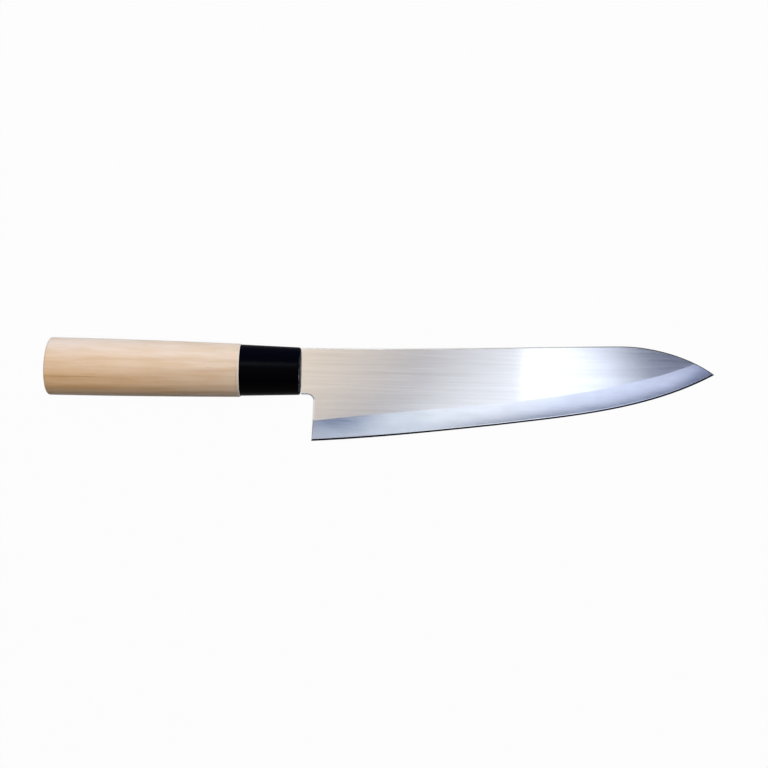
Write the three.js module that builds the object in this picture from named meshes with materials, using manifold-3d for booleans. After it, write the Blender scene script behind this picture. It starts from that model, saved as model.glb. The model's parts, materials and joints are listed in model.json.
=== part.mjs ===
// Gyuto, a Japanese chef's knife: a steel blade whose hidden tang is glued through a black
// plastic collar into an oval wooden handle. The knife lies on its left side as it comes to rest
// on a table: on the edge near the tip and on the lower rim of the collar. Sizes are millimetres.
// In the finished frame +X points to the tip, +Y to the spine and +Z up from the table.

import * as THREE from 'three';
import { mergeVertices } from 'three/addons/utils/BufferGeometryUtils.js';
import Module from 'manifold-3d';

const wasm = await Module();
wasm.setup();

// Driving dimensions, in the knife's own frame: x runs along the handle's axis to the tip
// from 0 at the blade's shoulder, y points to the spine and z out of the right face.

const GAP = 0.3; // clearance between neighbouring pieces

// Blade outline: the cutting edge is 210 long from heel to tip.
const HEEL = [5.5, -35.5];
const TIP = [211.8, 3.3];
const SPINE_CORNER = [166, 17];
const EDGE_MIDDLE = [100, -25.4];
const SPINE_BACK = [[0, 12.1], [57, 12.3], [111, 15.4], SPINE_CORNER];
const SPINE_DROP = [SPINE_CORNER, [182, 16.2], [198.2, 12.1], TIP];
const EDGE_REAR = [HEEL, [37, -33.4], [68.5, -29.4], EDGE_MIDDLE];
const EDGE_FRONT = [EDGE_MIDDLE, [137.5, -20], [178.3, -16], TIP];
const NECK_BOTTOM = -11.7;
const CHOIL_X = 6.2; // back of the heel, just below the choil's fillet
const CHOIL_RADIUS = 3.2;

// Blade grind: flat faces above the bevel line, a wide bevel and a narrow one at the edge.
const BEVEL_LINE = [[5.5, -24.1], [67, -15.9], [146, -14.4], [200, 8.7]];
const SPINE_THICKNESS = 2; // at the shoulder
const TAPER_TO_TIP = 0.0035; // thickness lost for each millimetre towards the tip
const TAPER_TO_EDGE = 0.006; // thickness lost for each millimetre below the spine
const EDGE_BEVEL_HEIGHT = 0.7;
const EDGE_BEVEL_THICKNESS = 0.3;

// Tang, the resin around it and the hole that both fill.
const TANG_LENGTH = 95;
const TANG_ROOT_HEIGHT = 13;
const TANG_END_HEIGHT = 8;
const RESIN_THICKNESS = 0.9;
const RESIN_RECESS = 0.5; // from the collar's front face
const RESIN_FLOOR = 3; // beyond the tang's end
const TANG_HOLE_THICKNESS = SPINE_THICKNESS + 4 * GAP + 2 * RESIN_THICKNESS;
const TANG_HOLE_MARGIN = 2 * GAP + RESIN_THICKNESS; // above and below the tang
const TANG_HOLE_END = -TANG_LENGTH - RESIN_FLOOR - GAP;

// Handle and collar: an oval whose thickness is a share of its height.
const OVAL = 0.75;
const HANDLE_END = -125.5;
const JOINT_X = -30.3; // rear end of the collar
const BUTT_HEIGHT = 28.9;
const BUTT_LEAN = 0.045; // the butt is cut a little longer on the edge side
const BUTT_LEAN_LENGTH = 20; // the lean fades out over this length
const HANDLE_BELLY = [-80, 28.9]; // x and height that the side curve leans to
const HANDLE_FRONT_HEIGHT = 26.75;
const BUTT_EASE = 1.2;
const SHOULDER_EASE = 0.5;
const COLLAR_FRONT_HEIGHT = 23.9;
const COLLAR_REAR_HEIGHT = 25.7;
const COLLAR_EASE = 1;
const COLLAR_FRONT_WALL = 3;
const TENON_HEIGHT = 20.4;

// Where the edge meets the table: the knife balances over this place and the collar's rim.
const REST_X = 179.5;

// How far a form runs on past the place where another one cuts it.
const OVERRUN = 8;

// How finely curves are divided.
const STATIONS = 36; // sections along the blade
const CURVE_STEPS = 24; // along each curve of an outline
const ROUND_STEPS = 48; // around the handle
const EASE_STEPS = 5; // along each eased rim
const HALVINGS = 40; // when a place on a curve is searched for

// A cubic curve through four control points, given as [x, y] pairs.
function cubic(points) {
  return new THREE.CubicBezierCurve(...points.map(([x, y]) => new THREE.Vector2(x, y)));
}

// How far along a curve x is reached, from 0 to 1.
function shareAt(curve, x) {
  let low = 0;
  let high = 1;
  for (let step = 0; step < HALVINGS; step += 1) {
    const middle = (low + high) / 2;
    if (curve.getPoint(middle).x < x) low = middle;
    else high = middle;
  }
  return high;
}

// Height of a run of curves at x; their end heights hold beyond their ends.
function heightAt(curves, x) {
  const curve = curves.find((one) => x <= one.v3.x) ?? curves[curves.length - 1];
  return curve.getPoint(shareAt(curve, x)).y;
}

// A closed solid for joining and cutting, from a geometry with its shared corners merged.
function solid(geometry) {
  const bare = geometry.clone();
  bare.deleteAttribute('normal');
  bare.deleteAttribute('uv');
  const merged = mergeVertices(bare);
  const corners = merged.index.array;
  const triangles = [];
  for (let i = 0; i < corners.length; i += 3) {
    const [a, b, c] = corners.slice(i, i + 3);
    if (a !== b && b !== c && c !== a) triangles.push(a, b, c);
  }
  const vertProperties = new Float32Array(merged.attributes.position.array);
  const triVerts = new Uint32Array(triangles);
  return new wasm.Manifold(new wasm.Mesh({ numProp: 3, vertProperties, triVerts }));
}

// A named mesh from a finished solid.
function piece(name, body, material) {
  const { vertProperties, triVerts } = body.getMesh();
  const geometry = new THREE.BufferGeometry();
  geometry.setAttribute('position', new THREE.BufferAttribute(vertProperties, 3));
  geometry.setIndex(new THREE.BufferAttribute(triVerts, 1));
  geometry.computeVertexNormals();
  const mesh = new THREE.Mesh(geometry, new THREE.MeshStandardMaterial(material));
  mesh.name = name;
  return mesh;
}

// A flat plate of an outline in the blade's plane, centred on that plane.
function plate(outline, thickness) {
  const settings = { depth: thickness, bevelEnabled: false, curveSegments: CURVE_STEPS };
  return solid(new THREE.ExtrudeGeometry(outline, settings).translate(0, 0, -thickness / 2));
}

// A solid through sections of equal count along x, each a convex ring of [y, z] points.
function loft(sections) {
  const count = sections[0].ring.length;
  const positions = sections.flatMap(({ x, ring }) => ring.flatMap(([y, z]) => [x, y, z]));
  const faces = [];
  for (let s = 0; s + 1 < sections.length; s += 1) {
    for (let i = 0; i < count; i += 1) {
      const a = s * count + i;
      const b = s * count + ((i + 1) % count);
      faces.push(a, b, b + count, a, b + count, a + count);
    }
  }
  const last = (sections.length - 1) * count;
  for (let i = 1; i + 1 < count; i += 1) {
    faces.push(0, i + 1, i);
    faces.push(last, last + i, last + i + 1);
  }
  const geometry = new THREE.BufferGeometry();
  geometry.setAttribute('position', new THREE.Float32BufferAttribute(positions, 3));
  geometry.setIndex(faces);
  return solid(geometry);
}

// An oval form turned about the handle's axis, from [x, half height] points, rear to front.
function oval(profile) {
  const points = profile.map(([x, radius]) => new THREE.Vector2(radius, x));
  return new THREE.LatheGeometry(points, ROUND_STEPS).rotateZ(-Math.PI / 2).scale(1, 1, OVAL);
}

// Leans the butt of the handle's form, with its flat face kept flat.
function leanButt(form) {
  const { position } = form.attributes;
  for (let i = 0; i < position.count; i += 1) {
    const fade = (position.getX(i) - HANDLE_END) / BUTT_LEAN_LENGTH;
    const shift = BUTT_LEAN * position.getY(i) * Math.max(0, 1 - fade);
    position.setX(i, position.getX(i) + shift);
  }
  return form;
}

// Points of an eased rim: a quarter circle about [x, y] between two angles, in degrees.
function easedRim(x, y, radius, from, to) {
  return Array.from({ length: EASE_STEPS + 1 }, (_, i) => {
    const angle = THREE.MathUtils.degToRad(from + ((to - from) * i) / EASE_STEPS);
    return [x + radius * Math.cos(angle), y + radius * Math.sin(angle)];
  });
}

// Half the tang's height at x, from its root at 0 to its end.
function tangHalf(x) {
  return THREE.MathUtils.mapLinear(-x, 0, TANG_LENGTH, TANG_ROOT_HEIGHT, TANG_END_HEIGHT) / 2;
}

// The tang's tapered form grown by a margin above and below, between two places along x.
function tangForm(rear, front, margin, thickness) {
  const outline = new THREE.Shape();
  outline.moveTo(front, tangHalf(front) + margin);
  outline.lineTo(rear, tangHalf(rear) + margin);
  outline.lineTo(rear, -tangHalf(rear) - margin);
  outline.lineTo(front, -tangHalf(front) - margin);
  return plate(outline, thickness);
}

// Outline of blade, neck and tang. It runs on below the edge and past the tip, where the
// grind ends the blade.
function bladeOutline() {
  const below = HEEL[1] - OVERRUN;
  const beyond = TIP[0] + OVERRUN;
  const backLean = (CHOIL_X - HEEL[0]) / (NECK_BOTTOM - CHOIL_RADIUS - HEEL[1]);
  const outline = new THREE.Shape();
  outline.moveTo(SPINE_BACK[0][0], SPINE_BACK[0][1]);
  outline.bezierCurveTo(...SPINE_BACK[1], ...SPINE_BACK[2], ...SPINE_BACK[3]);
  outline.bezierCurveTo(...SPINE_DROP[1], ...SPINE_DROP[2], ...SPINE_DROP[3]);
  outline.lineTo(beyond, below);
  outline.lineTo(HEEL[0] - backLean * (HEEL[1] - below), below);
  const choilX = CHOIL_X - CHOIL_RADIUS;
  outline.absarc(choilX, NECK_BOTTOM - CHOIL_RADIUS, CHOIL_RADIUS, 0, Math.PI / 2, false);
  outline.lineTo(0, NECK_BOTTOM);
  outline.lineTo(0, -tangHalf(0));
  outline.lineTo(-TANG_LENGTH, -tangHalf(-TANG_LENGTH));
  outline.lineTo(-TANG_LENGTH, tangHalf(-TANG_LENGTH));
  outline.lineTo(0, tangHalf(0));
  return outline;
}

// Half the thickness between the flat faces; the tang keeps the shoulder's thickness.
function flatHalf(x, y) {
  const spine = SPINE_BACK[0][1];
  const thickness = SPINE_THICKNESS - TAPER_TO_TIP * Math.max(x, 0) - TAPER_TO_EDGE * (spine - y);
  return thickness / 2;
}

// The steel's sections: both flats, both wide bevels and both edge bevels, alike on each side.
function bladeGrind() {
  const edge = [cubic(EDGE_REAR), cubic(EDGE_FRONT)];
  const bevel = [cubic(BEVEL_LINE)];
  const top = SPINE_CORNER[1] + OVERRUN;
  const places = Array.from({ length: STATIONS + 1 }, (_, i) => (TIP[0] * i) / STATIONS);
  return loft([-TANG_LENGTH - OVERRUN, ...places, TIP[0] + 2 * OVERRUN].map((x) => {
    const edgeY = heightAt(edge, x);
    const bevelY = heightAt(bevel, x);
    const right = [
      [top, flatHalf(x, top)],
      [bevelY, flatHalf(x, bevelY)],
      [edgeY + EDGE_BEVEL_HEIGHT, EDGE_BEVEL_THICKNESS / 2],
    ];
    const left = right.map(([y, z]) => [y, -z]).reverse();
    return { x, ring: [...right, [edgeY, 0], ...left] };
  }));
}

// One piece of steel: the blade and its hidden tang.
function makeBlade() {
  const body = plate(bladeOutline(), 4 * SPINE_THICKNESS).intersect(bladeGrind());
  return piece('blade', body, { color: 0xc6cad2, roughness: 0.3, metalness: 1 });
}

// The tapered hole that the tang and its resin fill, open at the collar's front.
function tangHole() {
  return tangForm(TANG_HOLE_END, OVERRUN, TANG_HOLE_MARGIN, TANG_HOLE_THICKNESS);
}

// Black collar: a tapered sleeve with a front wall that the tang passes through.
function makeCollar() {
  const front = -GAP;
  const frontHalf = COLLAR_FRONT_HEIGHT / 2;
  const rim = easedRim(front - COLLAR_EASE, frontHalf - COLLAR_EASE, COLLAR_EASE, 90, 0);
  const rearHalf = COLLAR_REAR_HEIGHT / 2;
  const outside = oval([[JOINT_X, 0], [JOINT_X, rearHalf], ...rim, [front, 0]]);
  const socketHalf = TENON_HEIGHT / 2 + GAP;
  const socketEnd = front - COLLAR_FRONT_WALL;
  const behind = JOINT_X - OVERRUN;
  const socket = oval([[behind, 0], [behind, socketHalf], [socketEnd, socketHalf], [socketEnd, 0]]);
  const body = solid(outside).subtract(solid(socket)).subtract(tangHole());
  return piece('collar', body, { color: 0x0b0b10, roughness: 0.3, metalness: 0 });
}

// Wooden handle: an oval grip with a flat butt, and a tenon that the collar sits on.
function makeHandle() {
  const shoulderX = JOINT_X - GAP;
  const tenonFront = -GAP - COLLAR_FRONT_WALL - GAP;
  const tenonHalf = TENON_HEIGHT / 2;
  const buttHalf = BUTT_HEIGHT / 2;
  const frontHalf = HANDLE_FRONT_HEIGHT / 2;
  const side = new THREE.QuadraticBezierCurve(
    new THREE.Vector2(HANDLE_END + BUTT_EASE, buttHalf),
    new THREE.Vector2(HANDLE_BELLY[0], HANDLE_BELLY[1] / 2),
    new THREE.Vector2(shoulderX - SHOULDER_EASE, frontHalf),
  );
  const grip = side.getPoints(CURVE_STEPS / 2).map(({ x, y }) => [x, y]);
  const buttRim = easedRim(HANDLE_END + BUTT_EASE, buttHalf - BUTT_EASE, BUTT_EASE, 180, 90);
  const shoulderRimY = frontHalf - SHOULDER_EASE;
  const shoulderRim = easedRim(shoulderX - SHOULDER_EASE, shoulderRimY, SHOULDER_EASE, 90, 0);
  const form = oval([
    [HANDLE_END, 0],
    ...buttRim,
    ...grip.slice(1, -1),
    ...shoulderRim,
    [shoulderX, tenonHalf],
    [tenonFront, tenonHalf],
    [tenonFront, 0],
  ]);
  const body = solid(leanButt(form)).subtract(tangHole());
  return piece('handle', body, { color: 0xdcc09c, roughness: 0.6, metalness: 0 });
}

// Resin cast round the tang: a tapered sleeve closed behind the tang's end.
function makeTangResin() {
  const thickness = TANG_HOLE_THICKNESS - 2 * GAP;
  const margin = TANG_HOLE_MARGIN - GAP;
  const outside = tangForm(TANG_HOLE_END + GAP, -GAP - RESIN_RECESS, margin, thickness);
  const tangSpace = tangForm(-TANG_LENGTH - GAP, OVERRUN, GAP, SPINE_THICKNESS + 2 * GAP);
  const body = outside.subtract(tangSpace);
  return piece('tang_resin', body, { color: 0x2a2420, roughness: 0.5, metalness: 0 });
}

// Turns the knife about the edge's direction at its resting place until its handle side meets
// the table, then sets it on the ground plane, centred over the origin.
function layDown(knife, handleSide) {
  const edge = cubic(EDGE_FRONT);
  const restShare = shareAt(edge, REST_X);
  const restY = edge.getPoint(restShare).y + EDGE_BEVEL_HEIGHT;
  const contact = new THREE.Vector3(REST_X, restY, -EDGE_BEVEL_THICKNESS / 2);
  const direction = edge.getTangent(restShare);
  const across = new THREE.Vector3(-direction.y, direction.x, 0);
  const corner = new THREE.Vector3();
  let lean = 0;
  for (const { geometry } of handleSide) {
    const { position } = geometry.attributes;
    for (let i = 0; i < position.count; i += 1) {
      corner.fromBufferAttribute(position, i).sub(contact);
      lean = Math.max(lean, Math.atan2(-corner.z, corner.dot(across)));
    }
  }
  const up = new THREE.Vector3(0, 0, Math.cos(lean)).addScaledVector(across, Math.sin(lean));
  const forward = new THREE.Vector3(1, 0, 0).addScaledVector(up, -up.x).normalize();
  const side = new THREE.Vector3().crossVectors(up, forward);
  knife.setRotationFromMatrix(new THREE.Matrix4().makeBasis(forward, side, up).transpose());
  knife.updateMatrixWorld(true);
  const bounds = new THREE.Box3().setFromObject(knife, true);
  const centre = bounds.getCenter(new THREE.Vector3());
  knife.position.set(-centre.x, -centre.y, -bounds.min.z);
}

const blade = makeBlade();
const collar = makeCollar();
const handle = makeHandle();
const knife = new THREE.Group().add(blade, collar, handle, makeTangResin());
layDown(knife, [collar, handle]);

const part = new THREE.Group().add(knife);
part.updateMatrixWorld(true);

export default part;
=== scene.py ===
"""Gyuto knife: the finished blade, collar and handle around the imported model, in metres.

The knife's own frame has x along the handle's axis to the tip, from 0 at the blade's shoulder,
y to the spine and z out of the right face, which lies upwards.
"""
import functools
import json
import math

import bpy
from mathutils import Matrix, Vector


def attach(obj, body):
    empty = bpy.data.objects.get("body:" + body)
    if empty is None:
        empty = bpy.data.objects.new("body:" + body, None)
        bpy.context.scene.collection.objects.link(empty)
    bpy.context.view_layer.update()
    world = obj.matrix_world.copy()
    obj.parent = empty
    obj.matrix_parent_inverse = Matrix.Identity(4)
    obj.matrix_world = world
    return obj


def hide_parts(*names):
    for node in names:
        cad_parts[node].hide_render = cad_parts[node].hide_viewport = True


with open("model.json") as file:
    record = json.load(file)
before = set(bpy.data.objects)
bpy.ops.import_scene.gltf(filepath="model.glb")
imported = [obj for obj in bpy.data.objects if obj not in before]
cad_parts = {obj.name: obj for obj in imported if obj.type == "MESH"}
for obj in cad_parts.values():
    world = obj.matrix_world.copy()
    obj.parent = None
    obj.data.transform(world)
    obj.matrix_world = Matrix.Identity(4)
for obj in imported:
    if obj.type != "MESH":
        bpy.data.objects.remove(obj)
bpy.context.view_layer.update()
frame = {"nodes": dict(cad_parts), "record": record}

# Blade outline and grind
HEEL = (0.0055, -0.03547)
TIP = (0.2118, 0.0033)
SPINE_CORNER = (0.166, 0.017)
SPINE_CORNER_SOFTNESS = 0.007
EDGE_MIDDLE = (0.1, -0.0254)
SPINE_BACK = ((0, 0.0121), (0.057, 0.0123), (0.111, 0.0154), SPINE_CORNER)
SPINE_DROP = (SPINE_CORNER, (0.182, 0.0162), (0.1982, 0.0121), TIP)
EDGE_REAR = (HEEL, (0.037, -0.0334), (0.0685, -0.0294), EDGE_MIDDLE)
EDGE_FRONT = (EDGE_MIDDLE, (0.1375, -0.02), (0.1783, -0.016), TIP)
BEVEL_LINE = ((0.0055, -0.0249), (0.067, -0.0157), (0.146, -0.014), (0.2, 0.0087))
NECK_BOTTOM = -0.0117
CHOIL_X = 0.0061
CHOIL_RADIUS = 0.003
SPINE_THICKNESS = 0.002
TAPER_TO_TIP = 0.0035
TAPER_TO_EDGE = 0.006
BEVEL_CROWN = 0.00004
BEVEL_LINE_EASE = 0.0004
EDGE_BEVEL_HEIGHT = 0.0009
EDGE_BEVEL_REAR_GROWTH = 0.0015
EDGE_BEVEL_FRONT_GROWTH = 0.012
EDGE_BEVEL_GROWTH_POWER = 1.5
EDGE_BEVEL_LEAST_X = 0.145
EDGE_BEVEL_SLOPE = 0.175
LAND_HEIGHT = 0.0003
LAND_SLOPE = 0.01
SPINE_EASE = 0.0004
HEEL_EASE = 0.001
EASE_DEPTH = 0.00045
# Where along the blade the painted shade of the spine starts and where it is full, towards the tip
PAINTED_TIP_SHADE = (0.13, 0.18)

# Largest shares of the blade's height, and, for the depth of an ease, of its half thickness
EDGE_BEVEL_SHARE = 0.55
LAND_SHARE = 0.05
SPINE_EASE_SHARE = 0.3
EASE_DEPTH_SHARE = 0.6

# Tang and the hole that it and its resin fill
TANG_LENGTH = 0.095
TANG_ROOT_HEIGHT = 0.013
TANG_END_HEIGHT = 0.008
GAP = 0.0003
RESIN_THICKNESS = 0.0009
RESIN_FLOOR = 0.003
HOLE_THICKNESS = SPINE_THICKNESS + 4 * GAP + 2 * RESIN_THICKNESS
HOLE_MARGIN = 2 * GAP + RESIN_THICKNESS
HOLE_END = -TANG_LENGTH - RESIN_FLOOR - GAP

# Handle and collar
OVAL = 0.75
HANDLE_END = -0.1255
JOINT_X = -0.0303
BUTT_HEIGHT = 0.02887
BUTT_LEAN = 0.045
BUTT_LEAN_LENGTH = 0.02
HANDLE_BELLY = (-0.08, 0.0289)
HANDLE_FRONT_HEIGHT = 0.0269
BUTT_EASE = 0.0012
SHOULDER_EASE = 0.0004
COLLAR_FRONT_HEIGHT = 0.0242
COLLAR_REAR_HEIGHT = 0.026
COLLAR_RISE = 0.00027
COLLAR_SLANT = 0.006
COLLAR_FLATNESS = 0.99
COLLAR_EASE = 0.0013
COLLAR_REAR_EASE = 0.0002
COLLAR_FRONT_WALL = 0.003
COLLAR_SEAM = 0.00002
TENON_HEIGHT = 0.0204

# Where the tones of the collar and of the wood change, painted light and shade among them: places
# along them, and heights of fades
# Painted highlight along the collar's front rim: its place, reach and fade
RIM_HIGHLIGHT_INSET = 0.4 * COLLAR_EASE
RIM_HIGHLIGHT_REACH = 0.0004
RIM_HIGHLIGHT_FADE = (0.009, 0)
# Heights over which the collar's painted bluish reflection fades in towards the spine side
COLLAR_PAINTED_REFLECTION_FADE = (-0.002, 0.012)
# Painted highlight along the wood's front rim: where it starts and where it is full
PAINTED_RIM_HIGHLIGHT = (0.9 * SHOULDER_EASE, 0.6 * SHOULDER_EASE)
# A scribed line behind the wood's front rim
SCRIBE_INSET = 0.0014
SCRIBE_REACH = 0.0003
SCRIBE_FADE = (0.005, 0)
WOOD_FRONT_START = -0.09
# Heights of the wood's painted sheen to the spine side, of its tan and painted shade, and of its
# painted shade below
WOOD_PAINTED_SHEEN_FADE = (0.014, 0.005)
WOOD_TAN_AND_SHADE_FADE = (0.005, -0.008)
WOOD_PAINTED_SHADE_FADE = (-0.007, -0.0145)
# Heights over which the wood's dark grain lines fade
WOOD_LINES_FADE = (0.008, -0.004)

# Camera: straight above, at the height where the perspective fits
CAMERA_PLACE = (-0.00094, 0.00388, 0.47)
CAMERA_TURN = math.radians(1.313)
CAMERA_LENS = 42.76

# How finely surfaces are divided, and how closely they are measured
COLUMN_STEP = 0.0015
LEAST_COLUMN_STEP = COLUMN_STEP / 3
TIP_LENGTH = 0.012
TIP_COLUMNS = 24
TIP_CROWDING = 1.5
BEVEL_ROWS = 10
EASE_ROWS = 5
CHOIL_STEPS = 12
ROUND_STEPS = 128
GRIP_STEPS = 32
BUTT_RINGS = (0, 0.35, 0.7)
HALVINGS = 40
SLOPE_STEP = 0.0002
NORMAL_STEP = 0.00005
CORNERS_PER_METRE = 1e7
TINY = 1e-9


def knife_matrix():
    """The knife's own frame at rest, from the faces that the record names as mounts."""
    mounts = {mount["name"]: mount for mount in frame["record"]["mounts"]}
    right = Vector(mounts["right_blade_flat"]["axis"])
    left = Vector(mounts["left_blade_flat"]["axis"])
    face_up = (right - left).normalized()
    forward = Vector((face_up.z, 0, -face_up.x)).normalized()
    to_spine = face_up.cross(forward)
    origin = Vector(mounts["butt_face"]["pos_m"]) - forward * HANDLE_END
    turn = Matrix((forward, to_spine, face_up)).transposed()
    return Matrix.Translation(origin) @ turn.to_4x4()


KNIFE = knife_matrix()


# Curves of the blade's outline

def cubic(points, t):
    """A point of the cubic curve that four control points steer."""
    weights = ((1 - t) ** 3, 3 * t * (1 - t) ** 2, 3 * t * t * (1 - t), t ** 3)
    return tuple(sum(w * p[axis] for w, p in zip(weights, points)) for axis in (0, 1))


@functools.lru_cache(maxsize=None)
def height_at(curves, x):
    """Height of a run of curves at x; their end heights hold beyond their ends."""
    curve = next((one for one in curves if x <= one[3][0]), curves[-1])
    low, high = 0.0, 1.0
    for _ in range(HALVINGS):
        middle = (low + high) / 2
        if cubic(curve, middle)[0] < x:
            low = middle
        else:
            high = middle
    return cubic(curve, high)[1]


def edge_y(x):
    """The cutting edge."""
    return height_at((EDGE_REAR, EDGE_FRONT), x)


def bevel_y(x):
    """The bevel's upper line, which runs on straight above the spine near the tip."""
    before, end = BEVEL_LINE[2:]
    slope = (end[1] - before[1]) / (end[0] - before[0])
    return height_at((BEVEL_LINE,), x) + slope * max(0, x - end[0])


def spine_y(x):
    """The spine, with its corner rounded off."""
    before, after = SPINE_BACK[2], SPINE_DROP[1]
    slope_before = (SPINE_CORNER[1] - before[1]) / (SPINE_CORNER[0] - before[0])
    slope_after = (after[1] - SPINE_CORNER[1]) / (after[0] - SPINE_CORNER[0])
    near = max(0, SPINE_CORNER_SOFTNESS - abs(x - SPINE_CORNER[0]))
    cut = (slope_before - slope_after) * near ** 2 / (4 * SPINE_CORNER_SOFTNESS)
    return height_at((SPINE_BACK, SPINE_DROP), x) - cut


def spine_slope(x):
    return (spine_y(x + SLOPE_STEP) - spine_y(x - SLOPE_STEP)) / (2 * SLOPE_STEP)


def blade_height(x):
    """From the edge up to the spine."""
    return spine_y(x) - edge_y(x)


def spine_ease(x):
    """Width of the spine's eased edge, measured down the blade; it runs out at the tip."""
    width = SPINE_EASE * math.hypot(1, spine_slope(x))
    return min(width, SPINE_EASE_SHARE * blade_height(x))


def spine_inset(x):
    """Where the flat face ends below the spine."""
    return spine_y(x) - spine_ease(x)


# Blade surface: heights above the mid-plane on the right face

def flat_z(x, y):
    thickness = SPINE_THICKNESS - TAPER_TO_TIP * max(x, 0) - TAPER_TO_EDGE * (SPINE_BACK[0][1] - y)
    return thickness / 2


def edge_bevel_height(x):
    """Height of the edge bevel: it grows both ways from its least and runs out at the tip."""
    growth = EDGE_BEVEL_REAR_GROWTH if x < EDGE_BEVEL_LEAST_X else EDGE_BEVEL_FRONT_GROWTH
    height = EDGE_BEVEL_HEIGHT + growth * abs(x - EDGE_BEVEL_LEAST_X) ** EDGE_BEVEL_GROWTH_POWER
    return min(height, EDGE_BEVEL_SHARE * blade_height(x))


def edge_bevel_top(x):
    return edge_y(x) + edge_bevel_height(x)


def edge_bevel_z(x, y):
    return (y - edge_y(x)) * EDGE_BEVEL_SLOPE


def land_top(x):
    return edge_bevel_top(x) + min(LAND_HEIGHT, LAND_SHARE * blade_height(x))


def land_z(x, y):
    """The narrow land above the edge bevel, honed nearly level."""
    low = edge_bevel_top(x)
    return edge_bevel_z(x, low) + (y - low) * LAND_SLOPE


def bevel_z(x, y):
    """The wide bevel, very slightly crowned between its two lines."""
    low = land_top(x)
    high = bevel_y(x)
    share = (y - low) / (high - low)
    low_z = land_z(x, low)
    return low_z + share * (flat_z(x, high) - low_z) + 4 * BEVEL_CROWN * share * (1 - share)


def face_z(x, y):
    """Height of the right face, in whichever zone the place is."""
    if y >= bevel_y(x):
        return flat_z(x, y)
    if y >= land_top(x):
        return bevel_z(x, y)
    if y >= edge_bevel_top(x):
        return land_z(x, y)
    return max(0, edge_bevel_z(x, y))


def normal_of(surface, x, y):
    step = NORMAL_STEP
    along = (surface(x + step, y) - surface(x - step, y)) / (2 * step)
    across = (surface(x, y + step) - surface(x, y - step)) / (2 * step)
    return Vector((-along, -across, 1)).normalized()


def on(surface, x, y):
    """A (point, normal) pair of a surface."""
    return Vector((x, y, surface(x, y))), normal_of(surface, x, y)


def mirrored(point):
    return Vector((point.x, point.y, -point.z))


class Patchwork:
    """A mesh put together from patches whose matching corners join, with its own normals."""

    def __init__(self):
        self.points = []
        self.index = {}
        self.faces = []
        self.normals = []
        self.zones = []

    def corner(self, point):
        """Number of the corner at a point, a new one where there is none yet."""
        key = tuple(round(value * CORNERS_PER_METRE) for value in point)
        if key not in self.index:
            self.index[key] = len(self.points)
            self.points.append(point)
        return self.index[key]

    def face(self, corners, zone=0):
        """Adds a face from (point, normal) pairs, less the corners that fall together."""
        kept = {}
        for point, normal in corners:
            kept.setdefault(self.corner(point), normal)
        if len(kept) >= 3:
            self.faces.append(list(kept))
            self.normals.extend(kept.values())
            self.zones.append(zone)

    def both_sides(self, corners, zone):
        """Adds a face of the right side and its mirror image on the left."""
        self.face(corners, zone)
        self.face([(mirrored(point), mirrored(normal)) for point, normal in reversed(corners)], zone)

    def grid(self, columns, zone):
        """Adds quads between columns of (point, normal) pairs, on both sides."""
        for rear, front in zip(columns, columns[1:]):
            for i in range(len(rear) - 1):
                self.both_sides([rear[i], front[i], front[i + 1], rear[i + 1]], zone)

    def wall(self, start, end, start_out, end_out, zone):
        """Adds the wall between two points of the right side and their mirror images."""
        self.face([(start, start_out), (end, end_out),
                   (mirrored(end), end_out), (mirrored(start), start_out)], zone)

    def tube(self, rings, normals=None):
        """Adds quads between closed rings; without normals each quad is flat."""
        for s in range(len(rings) - 1):
            for i in range(len(rings[s])):
                j = (i + 1) % len(rings[s])
                places = ((s, i), (s, j), (s + 1, j), (s + 1, i))
                corners = [rings[a][b] for a, b in places]
                flat = (corners[2] - corners[0]).cross(corners[3] - corners[1]).normalized()
                self.face([(rings[a][b], normals[a][b] if normals else flat) for a, b in places])

    def build(self, name, materials):
        """Makes the piece in the part's frame, with a map whose first axis runs across the knife."""
        turn = KNIFE.to_3x3()
        mesh = bpy.data.meshes.new(name)
        mesh.from_pydata([KNIFE @ point for point in self.points], [], self.faces)
        for material in materials:
            mesh.materials.append(material)
        mesh.polygons.foreach_set("material_index", self.zones)
        mesh.polygons.foreach_set("use_smooth", [True] * len(self.faces))
        mesh.normals_split_custom_set([turn @ normal for normal in self.normals])
        crosswise = mesh.uv_layers.new(name="crosswise")
        for loop in mesh.loops:
            point = self.points[loop.vertex_index]
            crosswise.data[loop.index].uv = (point.y, point.x)
        piece = bpy.data.objects.new(name, mesh)
        bpy.context.scene.collection.objects.link(piece)
        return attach(piece, "root")


# Blade, with a zone for each steel; BEVEL_TOP numbers the wide bevel's top up the heel's back

FLAT, BEVEL, EDGE, SIDE = range(4)
BEVEL_TOP = BEVEL_ROWS + 3


def bevel_heights(low, high):
    """Heights up the wide bevel, the last but one close below its eased upper line."""
    row = (high - low) / BEVEL_ROWS
    close = min(BEVEL_LINE_EASE, row / 2)
    return [low + row * i for i in range(BEVEL_ROWS)] + [high - close, high]


def meeting_place():
    """Where the bevel's upper line meets the spine's eased edge."""
    low, high = SPINE_CORNER[0], TIP[0]
    for _ in range(HALVINGS):
        middle = (low + high) / 2
        if bevel_y(middle) < spine_inset(middle):
            low = middle
        else:
            high = middle
    return low


def blade_columns(meeting):
    """Places along the blade: evenly spaced, closer at the tip, one where the lines meet."""
    first = CHOIL_X + 2 * HEEL_EASE
    last = TIP[0] - TIP_LENGTH
    count = round((last - first) / COLUMN_STEP)
    even = [first + (last - first) * i / count for i in range(count)]
    shares = [1 - i / TIP_COLUMNS for i in range(TIP_COLUMNS + 1)]
    close = [TIP[0] - TIP_LENGTH * share ** TIP_CROWDING for share in shares]
    clear = [x for x in even + close if abs(x - meeting) > LEAST_COLUMN_STEP]
    return sorted(clear + [meeting])


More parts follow.
